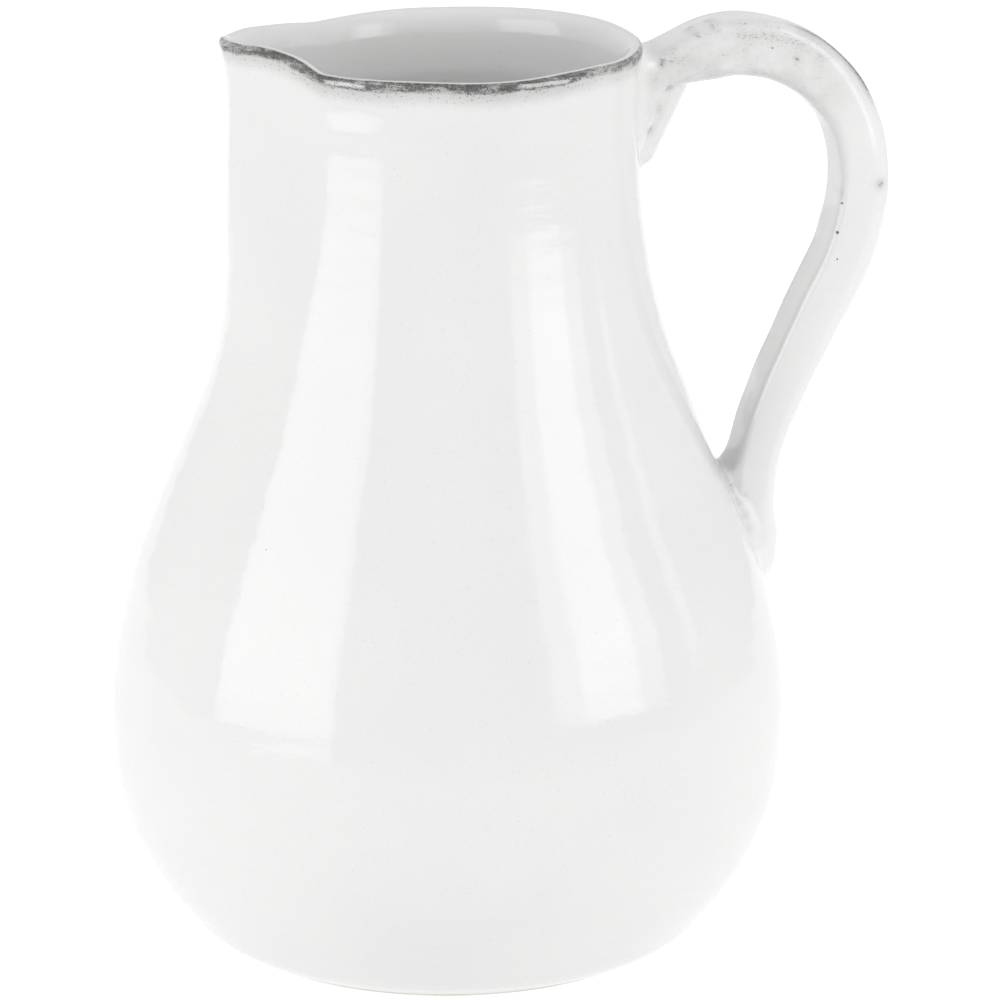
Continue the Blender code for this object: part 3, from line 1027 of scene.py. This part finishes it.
# Marks of thin glaze, and of painted shade at the upper root and in the lower joint's near crease:
# side (-1 near, 1 far), x, z of the middle, radius, strength.
THIN_GLAZE_AND_SHADE_MARKS = [
    (-1, 0.0614, 0.2287, 0.0017, 1.00),
    (-1, 0.0662, 0.2293, 0.0023, 1.00),
    (-1, 0.0640, 0.2270, 0.0050, 0.50),
    (-1, 0.0805, 0.2247, 0.0011, 0.75),
    (-1, 0.0866, 0.2214, 0.0015, 0.95),
    # The next three are painted shadow, with thin glaze, on the upper root's near side.
    (-1, 0.0524, 0.2221, 0.0017, 1.00),
    (-1, 0.0530, 0.2175, 0.0046, 0.60),
    (-1, 0.0516, 0.2110, 0.0034, 0.55),
    (-1, 0.0547, 0.2155, 0.0015, 0.95),
    (-1, 0.0522, 0.2103, 0.0017, 1.00),
    (-1, 0.0499, 0.2049, 0.0014, 0.95),
    (-1, 0.1086, 0.1890, 0.0016, 0.80),
    (-1, 0.0973, 0.1873, 0.0014, 0.90),
    # The next seven are painted shade, with thin glaze, along the lower joint's near crease.
    (-1, 0.0652, 0.1203, 0.0030, 0.92),
    (-1, 0.0674, 0.1181, 0.0028, 0.74),
    (-1, 0.0694, 0.1158, 0.0028, 0.70),
    (-1, 0.0711, 0.1132, 0.0027, 0.68),
    (-1, 0.0725, 0.1102, 0.0026, 0.64),
    (-1, 0.0735, 0.1068, 0.0023, 0.58),
    (-1, 0.0743, 0.1028, 0.0020, 0.50),
    (-1, 0.0768, 0.0772, 0.0009, 0.80),
    (1, 0.0610, 0.2210, 0.0050, 0.50),
    (1, 0.0800, 0.2240, 0.0070, 0.60),
    (1, 0.1080, 0.1980, 0.0060, 0.55),
]

# Burst bubbles with iron in them, on the strap's near face: x, z, radius.
DARK_DOTS = [
    (0.0989, 0.1846, 0.00026),
    (0.0977, 0.1773, 0.00042),
    (0.0976, 0.1706, 0.00024),
    (0.0805, 0.2247, 0.00022),
]

# The bare line on the arch: length along the strap, place across it.
BARE_LINE = np.array([
    (0.044, -0.0034),
    (0.056, -0.0041),
    (0.068, -0.0043),
    (0.072, -0.0045),
    (0.082, -0.0046),
])


def bare_edge(points):
    """How bare the clay is along the line where the glaze has run off the arch."""
    along, out, _, _, thickness = strap_place(points[:, 0], points[:, 2])
    middle = np.interp(along, BARE_LINE[:, 0], BARE_LINE[:, 1])
    line = bell(points[:, 1], middle, 1.7 * MM) * bell(out, thickness / 2, 2.2 * MM)
    return line * smooth(along, 0.048, 0.056) * (1 - smooth(along, 0.070, 0.079))


def painted_strap_light(points):
    """Painted highlight along the lower half's near inner corner, and painted light on the inner
    face.
    """
    along, out, _, width, thickness = strap_place(points[:, 0], points[:, 2])
    line = bell(points[:, 1], 0.50 * MM - width / 2, 0.50 * MM)
    line = line * bell(out, 0.50 * MM - thickness / 2, 0.50 * MM)
    line = line * smooth(along, 0.096, 0.101) * (1 - smooth(along, 0.156, 0.164))
    painted_inner_light = bell(out, -thickness / 2, 2.6 * MM) * bell(points[:, 1], -1.0 * MM, 7.0 * MM, 6)
    painted_inner_light = painted_inner_light * smooth(along, 0.060, 0.100) * (1 - smooth(along, 0.150, 0.172))
    return np.maximum(line, 0.62 * painted_inner_light)


def thin_glaze_and_shade(points):
    """How thin the glaze is at each point of the handle, with painted shade at the upper root and
    in the lower joint's near crease. It fades out toward the wall.
    """
    thin = np.zeros(len(points))
    for side, x, z, radius, strength in THIN_GLAZE_AND_SHADE_MARKS:
        gap = np.hypot(points[:, 0] - x, points[:, 2] - z)
        same_side = smooth(points[:, 1] * side, -0.5 * MM, 0.5 * MM)
        thin = np.maximum(thin, strength * np.exp(-((gap / radius) ** 2)) * same_side)
    along, out, _, width, thickness = strap_place(points[:, 0], points[:, 2])
    far_edge = bell(points[:, 1], width / 2 - 2.2 * MM, 1.2 * MM)
    far_edge = far_edge * bell(out, thickness / 2, 1.6 * MM)
    arch = smooth(along, 0.020, 0.040) * (1 - smooth(along, 0.075, 0.100))
    thin = np.maximum(thin, 0.95 * far_edge * arch)
    # The arch's near face is greyed all over, most under its ridge.
    near_face = bell(points[:, 1], 0.4 * MM - width / 2, 2.0 * MM)
    near_ridge = near_face * bell(out, thickness / 2 - 3.6 * MM, 2.4 * MM)
    bend = smooth(along, 0.016, 0.024) * (1 - smooth(along, 0.060, 0.082))
    thin = np.maximum(thin, 0.62 * near_ridge * bend)
    thin = np.maximum(thin, 0.48 * near_face * bend)
    inner_far = bell(points[:, 1], width / 2 - 2.5 * MM, 1.2 * MM)
    inner_far = inner_far * bell(out, -thickness / 2, 1.2 * MM) * smooth(along, 0.09, 0.12)
    thin = np.maximum(thin, 0.45 * inner_far)
    return thin * smooth(wall_distance(points), 0.04 * MM, 0.40 * MM)


# Head start of the coil over the strap where the surface is shared out.
COIL_LEAD = 0.05 * MM


def make_handle():
    """The handle's surface, shared out between the strap, the coil and the wad."""
    points, faces, normals = handle_surface()
    strap, coil, wad = clay_parts(points)
    owner = np.argmin(np.stack([strap, coil - COIL_LEAD, wad], axis=1), axis=1)
    votes = np.stack([(owner[faces] == part).sum(axis=1) for part in range(3)], axis=1)
    face_owner = votes.argmax(axis=1)
    names = [
        ("handle_strap", "pulled_handle", "handle_glaze"),
        ("upper_coil", "upper_joint_coil", "joint_glaze"),
        ("lower_wad", "lower_joint_wad", "joint_glaze"),
    ]
    thin = thin_glaze_and_shade(points)
    painted_light = painted_strap_light(points)
    bare = bare_edge(points)
    for part, (name, node, slot) in enumerate(names):
        spots, quads, used = keep_faces(points, faces, face_owner == part)
        numbers = {"thin": thin[used], "painted_light": painted_light[used], "bare": bare[used]}
        material = handle_glaze(name + "_glaze")
        piece = add_mesh(name, spots, quads.tolist(), normals[used], numbers, material)
        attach(piece, "root")
        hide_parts(node)


# ---------------------------------------------------------------- studio

CAMERA_AZIMUTH = math.radians(-12)
CAMERA_ELEVATION = math.radians(15.579)
CAMERA_DISTANCE = 1.55475
TARGET_SIDE = 0.013224
TARGET_HEIGHT = 0.11157
LENS = 223.9
SENSOR = 36.0


def make_camera():
    """A long lens a little above the rim, turned slightly to the spout's side."""
    cosine, sine = math.cos(CAMERA_AZIMUTH), math.sin(CAMERA_AZIMUTH)
    flat, rise = math.cos(CAMERA_ELEVATION), math.sin(CAMERA_ELEVATION)
    right = np.array([cosine, sine, 0])
    back = np.array([sine * flat, -cosine * flat, rise])
    target = right * TARGET_SIDE + np.array([0, 0, TARGET_HEIGHT])
    data = bpy.data.cameras.new("camera")
    data.lens = LENS
    data.sensor_width = SENSOR
    data.dof.use_dof = False
    camera = bpy.data.objects.new("camera", data)
    camera.location = (target + back * CAMERA_DISTANCE).tolist()
    camera.rotation_euler = (math.pi / 2 - CAMERA_ELEVATION, 0, CAMERA_AZIMUTH)
    bpy.context.scene.collection.objects.link(camera)
    bpy.context.scene.camera = camera


FLOOR_SIDE = 0.62
FLOOR_FRONT = -0.62
FLOOR_BACK = 3.2
FLOOR_GLOW = 0.88
FLOOR_COLOUR = (0.22, 0.22, 0.22, 1)


def flat_panel(name, corners, material):
    """A single four-cornered face that isn't part of the object."""
    mesh = bpy.data.meshes.new(name)
    mesh.from_pydata(corners, [], [(0, 1, 2, 3)])
    mesh.materials.append(material)
    piece = bpy.data.objects.new(name, mesh)
    bpy.context.scene.collection.objects.link(piece)
    return piece


def make_floor():
    """Plain white table."""
    material = bpy.data.materials.new("table_white")
    nodes = Nodes(material)
    inputs = {"Base Color": FLOOR_COLOUR, "Roughness": 0.9, "Specular IOR Level": 0.1}
    inputs.update({"Emission Color": (1, 1, 1, 1), "Emission Strength": FLOOR_GLOW})
    nodes.show(nodes.add("ShaderNodeBsdfPrincipled", inputs))
    front = [(-FLOOR_SIDE, FLOOR_FRONT, 0), (FLOOR_SIDE, FLOOR_FRONT, 0)]
    back = [(FLOOR_SIDE, FLOOR_BACK, 0), (-FLOOR_SIDE, FLOOR_BACK, 0)]
    flat_panel("table", front + back, material)


PANEL_DISTANCE = 1.2
LEFT_BOTTOM = -0.03
RIGHT_BOTTOM = 0.085
PANEL_TOP = 1.05

# Lights: name, start and end in degrees from the camera's axis, bottom, strength, the share of it
# outside the core, the core's half width as a share of the panel.
LIGHTS = [
    ("light_left", -82, -37, LEFT_BOTTOM, 2.8, 0.90, 0.40),
    ("light_right", 36, 79, RIGHT_BOTTOM, 3.6, 0.58, 0.24),
    ("light_side", 91, 97, RIGHT_BOTTOM, 1.6, 0.80, 0.40),
]


def panel_material(name, strength, edge, core):
    """A lit cloth with a bright core across part of its width."""
    material = bpy.data.materials.new(name)
    nodes = Nodes(material)
    split = nodes.add("ShaderNodeSeparateXYZ", {"Vector": nodes.place("UV")})
    middle = nodes.math("ABSOLUTE", nodes.math("SUBTRACT", split.outputs[0], 0.5))
    glow = nodes.ramp(middle, core - 0.03, core + 0.03, strength, strength * edge)
    tall = nodes.ramp(split.outputs[1], 0.0, 0.22, 0.72, 1.0)
    glow = nodes.math("MULTIPLY", glow, tall)
    nodes.show(nodes.add("ShaderNodeEmission", {"Color": (1, 1, 1, 1), "Strength": glow}))
    return material


def make_panel(name, start, end, bottom, strength, edge, core):
    """A tall soft light between two angles from the camera's axis, seen only by the object."""
    corners = []
    ring = [(start, bottom), (end, bottom), (end, PANEL_TOP), (start, PANEL_TOP)]
    for angle, height in ring:
        turn = CAMERA_AZIMUTH + math.radians(angle)
        x = PANEL_DISTANCE * math.sin(turn)
        y = -PANEL_DISTANCE * math.cos(turn)
        corners.append((x, y, height))
    panel = flat_panel(name, corners, panel_material(name + "_glow", strength, edge, core))
    layer = panel.data.uv_layers.new(name="across")
    for loop, place in zip(layer.data, ((0, 0), (1, 0), (1, 1), (0, 1))):
        loop.uv = place
    panel.visible_camera = False


# The room's glow, and how far toward +Y a direction points where it changes.
FRONT_GLOW = 0.95
BACK_GLOW = 1.02
FRONT_END = -0.9
BACK_START = -0.25


def make_world():
    """An even white room, a little dimmer on the camera's side."""
    world = bpy.data.worlds.new("white_room")
    bpy.context.scene.world = world
    nodes = Nodes(world)
    split = nodes.add("ShaderNodeSeparateXYZ", {"Vector": nodes.place("Generated")})
    inputs = {"Value": split.outputs[1], "From Min": FRONT_END, "From Max": BACK_START}
    inputs.update({"To Min": FRONT_GLOW, "To Max": BACK_GLOW})
    glow = nodes.add("ShaderNodeMapRange", inputs).outputs[0]
    nodes.show(nodes.add("ShaderNodeBackground", {"Strength": glow}), "ShaderNodeOutputWorld")


def make_studio():
    """Camera, table, three tall lights and the room."""
    make_camera()
    make_floor()
    for light in LIGHTS:
        make_panel(*light)
    make_world()
    bpy.context.scene.view_settings.view_transform = "Standard"


make_body()
make_handle()
make_studio()
